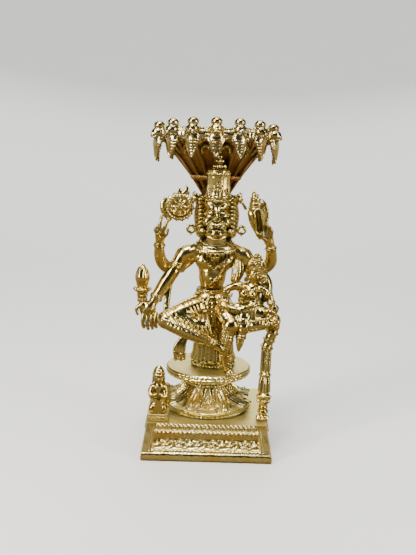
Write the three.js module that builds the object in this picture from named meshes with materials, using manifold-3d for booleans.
// A small brass temple figure: a seated four-armed lion-faced deity with a consort on one thigh, under a
// seven-headed serpent canopy, on a round lotus pedestal and a moulded plinth, with a kneeling attendant.
// Millimetres, +Z up. The front faces -Y, so the deity's own right side is at -X.
// The origin is the middle of the plinth's flat underside.
import * as THREE from "three";
import { mergeVertices } from "three/addons/utils/BufferGeometryUtils.js";
import Module from "manifold-3d";

const wasm = await Module();
wasm.setup();

// ---------------------------------------------------------------- driving dimensions

const SEAM = 0.3; // brazing gap between two castings

const PLINTH = { width: 58.5, depth: 53.5, height: 17, batter: 2.6 };
const LOTUS = { height: 14.1, footRadius: 20.2, waistRadius: 9.2, petals: 8, petalWidth: 11 };
const DISC = { height: 5.6, radius: 19.6, rim: 3.3 };
const FIGURE = { height: 94 }; // from the seat to the top of the crown's finial
const STOOL = { footRadius: 9.2, topRadius: 8, height: 19.5 };
const CROWN = { radius: 5.1, height: 14.6 };
const CANOPY = { reach: 26.2, forward: 12.8, thickness: 1.4, ribRadius: 1.3, spread: 64, stemHalf: 5.2 };
const SERPENT = { count: 7, headRadius: 2.8, jewelRadius: 2.0, bib: 9.2, bibHalf: 3.2 };
const DISCUS = { radius: 6.2, thickness: 2.2 };
const CONCH = { radius: 4.2, length: 22 };
const BUD = { radius: 3.2, height: 10 };
const MACE = { shaft: 2.4, ringRadius: 3.6, inset: 4.3 };
const ATTENDANT = { height: 24.4, inset: 7.3, block: 9.6 };

// ---------------------------------------------------------------- frames

const lotusBase = PLINTH.height + SEAM;
const discBase = lotusBase + LOTUS.height + SEAM;
const seat = discBase + DISC.height; // flat top of the lotus, which carries the figure
const scale = FIGURE.height / 94;
const P = (x, y, z) => new THREE.Vector3(x, y, z);
const at = (x, y, z) => P(x * scale, y * scale, seat + z * scale); // a point of the figure
const lerp = THREE.MathUtils.lerp;
const rad = THREE.MathUtils.degToRad;

// ---------------------------------------------------------------- shapes

// Every shape below is made larger by `swell` on all its sides. It is 0 for a casting itself, and the seam
// for the clearance that a casting leaves in the ones fitted after it.
let swell = 0;

function solidOf(geometry) {
  geometry.deleteAttribute("normal");
  geometry.deleteAttribute("uv");
  const merged = mergeVertices(geometry, 1e-4);
  const mesh = new wasm.Mesh({
    numProp: 3,
    vertProperties: merged.attributes.position.array,
    triVerts: new Uint32Array(merged.index.array),
  });
  return new wasm.Manifold(mesh);
}

function geometryOf(solid) {
  const { vertProperties, triVerts } = solid.getMesh();
  const geometry = new THREE.BufferGeometry();
  geometry.setAttribute("position", new THREE.BufferAttribute(vertProperties, 3));
  geometry.setIndex(new THREE.BufferAttribute(triVerts, 1));
  geometry.computeVertexNormals();
  return geometry;
}

const join = (...solids) => solids.flat().reduce((all, next) => all.add(next));

function settle(geometry, centre, turn = [0, 0, 0]) {
  const [x, y, z] = turn.map(rad);
  geometry.applyQuaternion(new THREE.Quaternion().setFromEuler(new THREE.Euler(x, y, z)));
  return solidOf(geometry.translate(centre.x, centre.y, centre.z));
}

function ball(centre, radii, turn, sides = 8) {
  const [x, y, z] = [radii].flat().concat(radii, radii).slice(0, 3).map((r) => r * scale + swell);
  const geometry = new THREE.SphereGeometry(1, sides, Math.round(sides * 0.7));
  return settle(geometry.rotateX(Math.PI / 2).scale(x, y, z), centre, turn);
}

function block(centre, sizes, turn) {
  const [x, y, z] = sizes.map((s) => s + 2 * swell);
  return settle(new THREE.BoxGeometry(x, y, z), centre, turn);
}

// A limb through the points, with a radius, or [across, front to back], at each of them.
function limb(points, radii, sides = 8, steps = points.length > 2 ? 2 : 1) {
  const curve = new THREE.CatmullRomCurve3(points);
  const spans = points.length - 1;
  const pairs = radii.map((r) => [r, r].flat().slice(-2)).map(([a, b], i) => [radii[i][0] ?? a, b]);
  const geometry = new THREE.CylinderGeometry(1, 1, 1, sides, steps * spans);
  const position = geometry.attributes.position;
  for (let i = 0; i < position.count; i++) {
    const t = position.getY(i) + 0.5;
    const span = Math.min(Math.floor(t * spans), spans - 1);
    const share = t * spans - span;
    const across = lerp(pairs[span][0], pairs[span + 1][0], share) * scale + swell;
    const deep = lerp(pairs[span][1], pairs[span + 1][1], share) * scale + swell;
    const along = curve.getTangent(t);
    const level = Math.abs(along.y) > 0.9 ? P(0, 0, 1) : P(0, 1, 0);
    const side = new THREE.Vector3().crossVectors(level, along).normalize();
    const front = new THREE.Vector3().crossVectors(along, side);
    const end = t < 1e-6 ? -swell : t > 1 - 1e-6 ? swell : 0;
    const place = curve.getPoint(t).addScaledVector(along, end);
    place.addScaledVector(side, across * position.getX(i));
    place.addScaledVector(front, -deep * position.getZ(i));
    position.setXYZ(i, place.x, place.y, place.z);
  }
  return solidOf(geometry);
}

// A piece turned about a vertical axis. The outline's points are [radius, height].
function turned(centre, outline, sides = 24, turn, shares = [1, 1]) {
  const lathe = (lift) => {
    const points = outline.map(([r, z]) => new THREE.Vector2(r && r + swell, z + lift));
    const geometry = new THREE.LatheGeometry(points, sides).rotateX(Math.PI / 2);
    return settle(geometry.scale(shares[0], shares[1], 1), centre, turn);
  };
  return swell ? join(lathe(-swell), lathe(0), lathe(swell)) : lathe(0);
}

const sized = (outline) => outline.map(([r, z]) => [r * scale, z * scale]);

// A ring of round wire, with its hole along `axis`.
function ring(centre, radius, wire, axis = P(0, 1, 0), shares = [1, 1], sides = 14) {
  const geometry = new THREE.TorusGeometry(radius * scale, wire * scale + swell, 5, sides);
  geometry.scale(shares[0], shares[1], 1);
  geometry.applyQuaternion(new THREE.Quaternion().setFromUnitVectors(P(0, 0, 1), axis.normalize()));
  return settle(geometry, centre);
}

// A rectangular moulding with straight sides in plan. The outline's points are [inset, height].
function moulding(width, depth, outline) {
  const sides = outline.map(([inset, z]) => [width / 2 - inset + swell, z]);
  const lathe = (lift) => {
    const points = [[0, sides[0][1]], ...sides, [0, sides[sides.length - 1][1]]];
    const vectors = points.map(([r, z]) => new THREE.Vector2(r * Math.SQRT2, z + lift));
    const geometry = new THREE.LatheGeometry(vectors, 4, Math.PI / 4).rotateX(Math.PI / 2);
    const position = geometry.attributes.position;
    for (let i = 0; i < position.count; i++) {
      const y = position.getY(i);
      position.setY(i, y + (Math.abs(y) > 1e-3 ? (Math.sign(y) * (depth - width)) / 2 : 0));
    }
    return settle(geometry, P(0, 0, 0));
  };
  return swell ? join(lathe(-swell), lathe(swell)) : lathe(0);
}

// ---------------------------------------------------------------- fitting the castings together

const brass = { color: 0xc9a24b, roughness: 0.2, metalness: 1 };
const copper = { color: 0x9a5f34, roughness: 0.4, metalness: 1 };
const statue = new THREE.Group();
const fitted = [];

function overlapping(a, b) {
  return [0, 1, 2].every((i) => a.min[i] < b.max[i] && b.min[i] < a.max[i]);
}

// Fits a casting: whatever it shares with the castings already fitted, and their seam, is cut from it.
function fit(name, make, finish = brass) {
  let solid = make();
  for (const other of fitted) {
    if (overlapping(solid.boundingBox(), other.boundingBox())) solid = solid.subtract(other);
  }
  const whole = solid.decompose().sort((a, b) => b.volume() - a.volume())[0];
  swell = SEAM;
  fitted.push(make());
  swell = 0;
  const mesh = new THREE.Mesh(geometryOf(whole), new THREE.MeshStandardMaterial(finish));
  mesh.name = name;
  statue.add(mesh);
}

// ---------------------------------------------------------------- plinth and lotus

fit("plinth", () => {
  const { width, depth, height, batter } = PLINTH;
  const tier = (share, inset) => [inset * batter, share * height];
  return moulding(width, depth, [
    tier(0, 0), tier(0.25, 0), tier(0.27, 0.45), tier(0.33, 0.45), tier(0.35, 0.95), tier(0.58, 0.95),
    tier(0.6, 0.6), tier(0.73, 1.0), tier(0.74, 0.85), tier(0.82, 0.85), tier(0.83, 1.15),
    tier(0.9, 1.15), tier(0.91, 0.9), tier(1, 1),
  ]);
});

fit("lotus_base", () => {
  const { height, footRadius, waistRadius, petals, petalWidth } = LOTUS;
  const foot = P(0, 0, lotusBase);
  const rings = [[0, 0], [footRadius, 0], [footRadius, 1.2], [footRadius - 2.6, 1.8]];
  const neck = [
    [waistRadius + 5, height * 0.42], [waistRadius, height * 0.78], [waistRadius + 1.3, height * 0.86],
    [waistRadius + 1.3, height * 0.94], [waistRadius + 0.6, height], [0, height],
  ];
  const core = turned(foot, [...rings, ...neck], 24);
  const leaves = Array.from({ length: petals }, (_, i) => {
    const turn = (360 / petals) * i - 90;
    const out = P(Math.cos(rad(turn)), Math.sin(rad(turn)), 0);
    const middle = out.multiplyScalar((footRadius + waistRadius) / 2).add(foot).add(P(0, 0, height * 0.42));
    const shape = new THREE.SphereGeometry(1, 8, 6);
    shape.scale(1.5 + swell, petalWidth / 2 + swell, height * 0.46 + swell).rotateY(rad(-38));
    return settle(shape.rotateZ(rad(turn)), middle);
  });
  return join(core, leaves);
});

fit("lotus_disc", () => {
  const { height, radius, rim } = DISC;
  const under = height - rim;
  return turned(P(0, 0, discBase), [
    [0, 0], [LOTUS.waistRadius + 1.2, 0], [radius - 2, under * 0.6], [radius - 0.6, under],
    [radius, under + 0.8], [radius, height - 0.9], [radius - 0.5, height], [0, height],
  ], 28);
});

// ---------------------------------------------------------------- seat and draped cloth

fit("seat_stool", () => {
  const { footRadius, topRadius, height } = STOOL;
  const outline = [
    [0, SEAM], [footRadius + 0.8, SEAM], [footRadius + 0.8, 1.6], [footRadius, 2.2],
    [topRadius, height - 2], [topRadius + 0.7, height - 1.6], [topRadius + 0.7, height], [0, height],
  ];
  const front = block(at(-0.5, -8.6, 2.6), [8, 5, 4.2 * scale]);
  return join(turned(at(2, 0.5, 0), sized(outline), 16, [0, 0, 0], [1, 0.9]), front);
});

fit("front_pleats", () => {
  const folds = [-3.9, -1.7, 0.5, 2.7].map((x, i) =>
    limb([at(x * 0.8, -6.5, 19), at(x, -8.6, 15), at(x, -9.6, 5.4 + (i % 2) * 0.7)], [1.1, 1.3, 1.5], 5, 1));
  return join(folds);
});

fit("pelvis", () => join(
  ball(at(0.5, 0, 29.6), [9, 7.4, 7.9]),
  limb([at(1.4, 0.4, 20), at(0.8, 0, 27)], [7, 8], 10, 1),
));

fit("left_leg", () => join(
  limb([at(4.6, -1.5, 28.4), at(9.6, -13, 22.8)], [5.4, 3.9]),
  ball(at(9.6, -13.4, 22.4), 3.8),
  limb([at(9.6, -13.8, 22), at(9.5, -14.4, 12.5), at(8.8, -13.5, 3.6)], [3.5, 3.1, 2.0]),
));

fit("left_foot", () => limb(
  [at(8.8, -12.4, 2), at(9.4, -15, 1.5), at(10.4, -17.8, 0.9)], [[1.9, 2.0], [2.2, 1.8], [1.8, 1.2]],
));

fit("right_leg", () => join(
  limb([at(-3.8, -2.6, 28.6), at(-19.4, -11.4, 24.4)], [5.4, 3.7]),
  ball(at(-20, -12, 24.1), 3.6),
  limb([at(-19.6, -12.6, 23.4), at(-7.5, -16, 19), at(3.4, -16.6, 14.6)], [3.3, 3.1, 2.1]),
));

fit("right_foot", () => limb(
  [at(2.4, -17, 14.6), at(5, -17.6, 13), at(8, -17.8, 10.8)], [[1.9, 1.9], [2.1, 1.9], [1.2, 1.1]],
));

fit("sash_end", () => {
  const fingers = [-15, -13.6, -12.2, -10.9].map((x, i) =>
    limb([at(-12 + i * 0.5, -8.2, 15), at(x, -9.4, 9.6), at(x, -9.6, 4.6)], [1.3, 1, 0.9], 5, 1));
  return join(limb([at(-9.6, -6, 24), at(-11.4, -7.9, 13.6)], [[2.4, 1.4], [2, 1.3]]), fingers);
});

// ---------------------------------------------------------------- body and head of the deity

fit("torso", () => join(
  limb([at(0.4, 0, 35), at(0.6, -0.4, 43)], [[4.9, 4.2], [4.6, 4]]),
  ball(at(0.6, -1.2, 42.4), [6.1, 4.9, 5.6]),
  ball(at(1.4, -0.6, 49), [8.8, 5.5, 6.4]),
  limb([at(-9.6, 0.3, 52.2), at(1.6, 0.4, 54), at(12.4, 0.3, 52.6)], [3.4, 3.8, 3.4]),
  limb([at(1.7, -0.4, 54), at(1.9, -1, 62)], [4.4, 4.1]),
));

fit("waist_belt", () => ring(at(0.5, 0, 35.4), 5.7, 1.25, P(0, 0, 1), [1, 0.86], 18));

fit("collar", () => join(
  ring(at(1.6, -1.2, 56.4), 7.2, 1.9, P(0, -0.35, 1), [1.15, 0.78], 16),
  ball(at(1.4, -6.8, 50.2), [3.4, 1.5, 3.6]),
));

fit("head", () => join(
  ball(at(1.9, -1.8, 69.6), [6.3, 6, 8.6], [0, 0, 0], 14),
  ball(at(1.9, -7, 66.6), [3.9, 3.4, 3.2]),
  ball(at(1.9, -7.2, 71), [1.6, 2.2, 2.4]),
));

for (const [side, x] of [["right", -5.6], ["left", 9.2]]) {
  const out = Math.sign(x);
  fit(`mane_${side}`, () => join(
    limb([at(x, -0.4, 77), at(x + out * 1.3, -0.2, 70), at(x + out * 0.4, -0.2, 60.6)], [[1.9, 3.4], [2.2, 4], [2.4, 3.2]]),
    ball(at(x + out * 0.4, -4.4, 63), 1.9, undefined, 8),
  ));
  fit(`earring_${side}`, () => ring(at(x + out * 3.4, -2.6, 63.8), 1.6, 0.75, P(0, 1, 0), [1, 1], 12));
}

fit("crown", () => {
  const { radius, height } = CROWN;
  const outline = [
    [0, 0], [radius + 1, 0], [radius + 1.1, 1.6], [radius + 0.2, 2.2], [radius, height * 0.5],
    [radius - 0.3, height * 0.72], [radius + 0.3, height * 0.8], [radius + 0.3, height * 0.92],
    [radius - 1, height], [0, height],
  ];
  return turned(at(2.2, -2.4, 76.4), sized(outline), 14);
});

fit("crown_finial", () => join(
  ball(at(2.5, -2.4, 76.4 + CROWN.height + 0.9), [2.4, 2.4, 1.3]),
  ball(at(2.6, -2.4, 76.4 + CROWN.height + 2.7), [1.5, 1.5, 1.5]),
));

for (const [side, x, reach] of [["right", -5, -11], ["left", 8.6, 14.6]]) {
  const out = Math.sign(x);
  fit(`ear_ornament_${side}`, () => join(
    ball(at(x + out * 2.4, -1.4, 77.4), [2.3, 1.2, 2.3], [0, 0, 0], 8),
    limb([at(x + out * 2.2, -0.9, 76.6), at(reach, -0.9, 73.4)], [[0.8, 0.8], [1, 0.8]], 5, 1),
    limb([at(x - out * 1.4, -1.2, 78), at(x + out * 2, -1.4, 77.4)], [1, 0.9], 5, 1),
  ));
}

// ---------------------------------------------------------------- arms and emblems of the deity

fit("right_arm", () => join(
  ball(at(-12.4, 0, 52), 3.6),
  limb([at(-12.4, -0.2, 51.6), at(-17.4, -3, 44)], [3.3, 2.7]),
  ball(at(-17.5, -3, 43.7), 2.9, undefined, 8),
  limb([at(-17.6, -3.1, 43.4), at(-21.6, -5.2, 37.2), at(-25.6, -7.2, 31)], [2.7, 2.5, 2]),
));

fit("right_hand", () => join(
  ball(at(-28, -8, 27.6), [4.2, 1.8, 4], [0, 20, 0]),
  [-29.9, -28, -26.1, -24.4].map((x, i) =>
    limb([at(x + 0.3, -8.2, 26), at(x, -8.6, 22), at(x + 0.3, -8.3, 18.4 + Math.abs(i - 1.4) * 0.6)], [1, 1, 0.75], 5, 1)),
));

fit("scarf_end", () => limb(
  [at(-17.4, -3.4, 43.5), at(-18.8, -4.6, 36), at(-19.6, -8.8, 27)], [[1.3, 0.9], [1.5, 0.8], [1.3, 0.8]], 6, 3,
));

fit("lotus_bud", () => {
  const { radius, height } = BUD;
  const outline = [
    [0, 0], [2.2, 0], [2.4, 3], [3.1, 5], [radius + 0.9, 5.4], [radius + 0.9, 6.6], [radius * 0.75, 7.6],
    [radius, 7.6 + height * 0.3], [radius * 0.9, 7.6 + height * 0.62], [0.8, 7.2 + height], [0, 7.4 + height],
  ];
  return turned(at(-30.6, -6.6, 30.8), sized(outline), 14);
});

fit("rear_right_arm", () => join(
  limb([at(-11, 3, 48.6), at(-18, 3.4, 43.8), at(-23.2, 2.4, 48.4), at(-23.6, 0.6, 56.6)], [3.3, 2.9, 2.8, 2.1]),
  ball(at(-23.2, -0.2, 59.4), [2.5, 1.8, 3.6]),
  limb([at(-22.4, -0.8, 62.4), at(-20.4, -1, 66), at(-18.6, -1, 69.2)], [1.3, 1.2, 1], 5, 1),
  limb([at(-23.6, -0.8, 62), at(-23.2, -1, 66), at(-21.9, -1, 69.6)], [1.2, 1.1, 0.8], 5, 1),
));

fit("discus", () => {
  const { radius, thickness } = DISCUS;
  const middle = at(-14.8, -1, 73.2);
  const half = thickness / 2;
  const wheel = sized([
    [0, -half], [radius * 0.72, -half], [radius * 0.76, -half * 1.4], [radius, -half * 1.2],
    [radius, half * 1.2], [radius * 0.76, half * 1.4], [radius * 0.72, half], [0, half],
  ]);
  const flame = (angle, from, to) => limb(
    [from, (from + to) / 2, to].map((r) => at(-14.8 + r * Math.sin(rad(angle)), -1, 73.2 + r * Math.cos(rad(angle)))),
    [[1.5, 0.8], [1.9, 0.9], [0.4, 0.4]], 5, 1);
  return join(turned(middle, wheel, 16, [90, 0, 0]), flame(14, radius - 1, radius + 5.4), flame(-82, radius - 1, radius + 3.6));
});

fit("rear_left_arm", () => join(
  limb([at(13, 3, 48.8), at(22, 3.6, 44.6), at(27.4, 2.4, 48.2), at(26.4, 0.6, 57)], [3.2, 2.9, 2.8, 2.1]),
  ball(at(25.4, 0, 59.6), [2.5, 1.8, 3.6]),
  limb([at(24.6, -0.8, 62.2), at(23.8, -1.2, 68), at(22.4, -1.2, 75)], [1.3, 1.3, 0.8], 5, 1),
));

fit("conch", () => {
  const { radius, length } = CONCH;
  const outline = [
    [0, 0], [0.9, 0], [1.7, length * 0.16], [radius * 0.9, length * 0.38], [radius, length * 0.56],
    [radius * 0.72, length * 0.72], [radius * 0.74, length * 0.77], [radius * 0.5, length * 0.82],
    [radius * 0.5, length * 0.88], [0.6, length], [0, length],
  ];
  return turned(at(21.6, -1.4, 59.6), sized(outline), 14, [0, -9, 0]);
});

fit("left_arm", () => join(
  ball(at(14.6, 0, 52.2), 3.6),
  limb([at(14.6, -0.2, 51.8), at(22.6, -0.6, 44), at(26, -3.4, 38.2), at(24.4, -6, 33.6)], [3.2, 2.6, 2.3, 2]),
));

// ---------------------------------------------------------------- consort on the left thigh

fit("consort_hips", () => join(
  ball(at(18.6, -8.6, 29.6), [5.4, 4.6, 4.6]),
  limb([at(12.6, -7.6, 28.6), at(18, -8.4, 29.6)], [3, 3.6]),
));

fit("consort_legs", () => join(
  limb([at(19, -9.4, 28), at(28.4, -10.4, 25)], [4.2, 3.3]),
  limb([at(28.4, -10.8, 24.4), at(22, -13.4, 24), at(15.6, -13.4, 22.6)], [2.9, 2.9, 2.8]),
  limb([at(15, -11.4, 27), at(14.4, -14, 20.6), at(13.2, -14, 16)], [3.2, 2.4, 1.7]),
  limb([at(13.2, -13.8, 16.4), at(12.4, -15, 12.6)], [1.8, 1]),
));

fit("consort_torso", () => join(
  limb([at(19.4, -8.6, 31.6), at(19.6, -8.8, 38)], [[3.5, 2.8], [3.9, 2.9]]),
  ball(at(19.7, -9.2, 36), [4.2, 3.2, 3.4]),
  limb([at(16, -8.6, 38.4), at(19.8, -8.4, 39.4), at(23.6, -8.4, 38.4)], [1.9, 2.2, 1.9]),
  limb([at(20, -8, 39), at(20.4, -7.4, 42)], [1.9, 1.8]),
));

fit("consort_right_arm", () => join(
  limb([at(16.2, -9, 38.6), at(12, -10.4, 39.8), at(8.4, -9, 38.8)], [1.9, 1.7, 1.5], 7),
  ball(at(7, -8.2, 38), [1.9, 1.4, 2.3], undefined, 8),
  [6.2, 7.6].map((x) => limb([at(x, -8.4, 38.4), at(x + 0.6, -8.2, 41.8)], [0.95, 0.7], 5, 1)),
));

fit("consort_left_arm", () => join(
  limb([at(24, -8.8, 38), at(26.8, -9.4, 34.4), at(27.4, -9.6, 30.6)], [1.8, 1.6, 1.4], 7),
  ball(at(29, -9.2, 30.6), [2.3, 1.9, 2.5], undefined, 8),
));

fit("garland", () => limb(
  [at(4.4, -8.4, 36.6), at(7, -11, 33.2), at(12, -12.6, 31.8), at(17, -12.8, 33), at(19.4, -11.4, 36)],
  [1.2, 1.6, 1.8, 1.6, 1.2], 8, 3,
));

fit("consort_head", () => join(
  ball(at(19.6, -7.8, 44.6), [3.5, 3.4, 4]),
  ball(at(21.4, -6.4, 44.8), [3.6, 3.2, 3.8], undefined, 8),
));

fit("consort_crown", () => join(
  ball(at(20.4, -6, 49.6), [4.2, 3.6, 2.6]),
  ball(at(20.2, -5.4, 52), [2.3, 2.2, 1.7], undefined, 8),
));

// ---------------------------------------------------------------- mace and attendant on the plinth

const maceX = PLINTH.width / 2 - MACE.inset;
const maceFoot = P(maceX, -PLINTH.depth / 2 + 9.8, PLINTH.height);

fit("mace_shaft", () => {
  const top = at(26, -10.4, 11.6);
  const part = (share) => maceFoot.clone().lerp(top, share).add(P(0, 0, SEAM * (1 - share)));
  const bulge = (share, radius) => [share - 0.05, share, share + 0.05].map((s) => [s, radius - (s === share ? 0 : 1)]);
  const profile = [
    [0, 3.3], [0.1, 3.3], [0.17, 2.2], ...bulge(0.31, MACE.ringRadius), [0.42, MACE.shaft],
    [0.62, MACE.shaft * 0.9], ...bulge(0.7, MACE.ringRadius - 0.5), [0.82, MACE.shaft * 0.85], [1, MACE.shaft],
  ];
  const curve = profile.map(([share]) => part(share));
  return limb(curve, profile.map(([, r]) => r), 10, 1);
});

fit("mace_head", () => join(
  limb([at(26, -10.4, 11.4), at(27, -10.4, 15), at(28.6, -10.4, 19), at(29.6, -10.4, 22.4)], [3.1, 2.2, 2.7, 2.2], 8, 1),
));

const blockTop = PLINTH.height + SEAM + 3;
const kneel = P(-PLINTH.width / 2 + ATTENDANT.inset, -PLINTH.depth / 2 + 8.6, blockTop);
const grow = ATTENDANT.height / 24.4;
const by = (x, y, z) => P(x, y, z).multiplyScalar(grow).add(kneel);

fit("attendant_base", () => block(P(kneel.x, kneel.y, blockTop - 1.5), [ATTENDANT.block, ATTENDANT.block - 1, 3]));

fit("attendant_body", () => join(
  limb([by(0, 0.6, SEAM), by(0, 0.4, 4.6), by(0, 0, 9), by(0.2, -0.2, 13.4)], [[4.3, 3.6], [3.9, 3.4], [3, 2.4], [2.6, 2]], 10),
  limb([by(-2.6, -1.6, 1.6), by(2.6, -1.6, 1.6)], [2, 2]),
));

fit("attendant_arms", () => join(
  limb([by(-2.8, -0.4, 11.8), by(-3, -2.4, 8.4), by(-0.4, -3.6, 9.6)], [1.5, 1.4, 1.1], 7),
  limb([by(3, -0.4, 11.8), by(3, -2.4, 8.4), by(0.4, -3.6, 9.6)], [1.5, 1.4, 1.1], 7),
  limb([by(0, -3.6, 8.8), by(0, -4, 13.2)], [[1.3, 1], [0.8, 0.6]], 5, 1),
));

fit("attendant_head", () => join(
  ball(by(0, -0.8, 16.6), [2.8, 2.7, 3.2]),
  limb([by(0, -0.5, 18.4), by(0, -0.3, 21.2)], [2.5, 1.2], 8, 2),
));

fit("attendant_wing", () => limb(
  [by(3.4, 1.6, 4), by(4.6, 1.8, 8.6), by(4, 1.8, 13)], [[1.2, 1], [1.8, 1], [0.7, 0.6]], 6, 3,
));

// ---------------------------------------------------------------- serpent canopy

const stemTop = at(1.2, 7.4, 76);
const rimCentre = at(0.6, 1.6, 104.8);
const heads = Array.from({ length: SERPENT.count }, (_, i) =>
  lerp(-CANOPY.spread, CANOPY.spread, i / (SERPENT.count - 1)));

// A point of the canopy: `angle` across it, `rise` from 0 at the stem to 1 at the serpents' heads.
function canopyPoint(angle, rise) {
  const [reach, forward, half] = [CANOPY.reach, CANOPY.forward, CANOPY.stemHalf].map((v) => v * scale);
  const rimX = rimCentre.x + reach * Math.sin(rad(angle));
  const rimY = rimCentre.y - forward * Math.cos(rad(angle));
  const lowX = stemTop.x + (half * angle) / CANOPY.spread;
  const lowY = stemTop.y + 0.6 * scale * Math.cos(rad(angle));
  const x = lerp(lowX, rimX, rise ** 1.2);
  const y = lerp(lowY, rimY, rise ** 1.9);
  return P(x, y, lerp(stemTop.z, rimCentre.z, rise));
}

function canopyNormal(angle, rise) {
  const across = canopyPoint(angle + 1, rise).sub(canopyPoint(angle - 1, rise));
  const up = canopyPoint(angle, rise + 0.01).sub(canopyPoint(angle, rise - 0.01));
  return across.cross(up).normalize(); // points forward, under the canopy
}

// A sheet that follows the canopy between two angles and two rises, from `near` to `far` along its normal.
function shell([a0, a1], [r0, r1], [near, far], across, along) {
  const geometry = new THREE.BoxGeometry(1, 1, 1, across, 1, along);
  const position = geometry.attributes.position;
  const [wider, taller] = [swell * 3, swell / 30];
  for (let i = 0; i < position.count; i++) {
    const angle = lerp(a0 - wider, a1 + wider, position.getX(i) + 0.5);
    const rise = lerp(r0 - taller, r1 + taller, position.getZ(i) + 0.5);
    const depth = lerp(far + swell, near - swell, position.getY(i) + 0.5);
    const place = canopyPoint(angle, Math.max(rise, 0)).addScaledVector(canopyNormal(angle, Math.max(rise, 0.02)), depth);
    position.setXYZ(i, place.x, place.y, place.z + Math.min(rise, 0) * 30);
  }
  return solidOf(geometry);
}

fit("canopy_stem", () => join(
  limb([at(1.4, 5.6, 46), at(1.3, 7.4, 58), at(1.2, 8, 77)], [[5.4, 1.8], [4.8, 1.8], [4.6, 1.5]], 8, 2),
  limb([at(1.4, 4, 50), at(1.3, 7, 50)], [[3, 3], [3, 3]], 8, 1),
));

fit("canopy_fan", () => {
  const half = (CANOPY.thickness * scale) / 2;
  const ribs = heads.map((angle) => limb(
    [0.03, 0.3, 0.6, 0.85, 0.97].map((rise) => canopyPoint(angle * (0.9 + rise * 0.1), rise)
      .addScaledVector(canopyNormal(angle, Math.max(rise, 0.1)), -half)),
    [0.7, 0.85, 1.05, CANOPY.ribRadius, CANOPY.ribRadius], 5, 1));
  return join(shell([-CANOPY.spread, CANOPY.spread], [0.01, 0.84], [-half, half], 12, 4), ribs);
}, copper);

fit("canopy_band", () => {
  const half = (CANOPY.thickness * scale) / 2;
  return shell([-CANOPY.spread, CANOPY.spread], [0.34, 0.4], [half + SEAM, half + 1.6], 12, 1);
});

heads.forEach((angle, i) => {
  const { headRadius, jewelRadius, bib, bibHalf } = SERPENT;
  const rim = canopyPoint(angle, 1);
  const middle = 1 - Math.abs(angle) / CANOPY.spread;
  const size = 1 + 0.12 * middle;
  const out = P(Math.sin(rad(angle)), -Math.cos(rad(angle)), 0);
  const part = (forward, up) => rim.clone().addScaledVector(out, forward * scale).add(P(0, 0, up * size * scale));
  fit(`serpent_head_${i + 1}`, () => join(
    limb([part(0.9, -bib), part(1.4, -bib * 0.55), part(1.3, -bib * 0.2), part(0.9, 1.4)],
      [[0.7, 0.6], [bibHalf, 1], [bibHalf * 0.92, 1.3], [headRadius, 1.9]], 5, 1),
    limb([part(-1.6, -0.6), part(0.6, 1.4)], [1.7, 1.9], 5, 1),
    ball(part(1.7, 1.6), [headRadius * size, headRadius * 1.15 * size, headRadius * 0.95 * size], [0, 0, 0], 8),
    ball(part(1, 4.6), jewelRadius * size, undefined, 6),
  ));
});

export default statue;
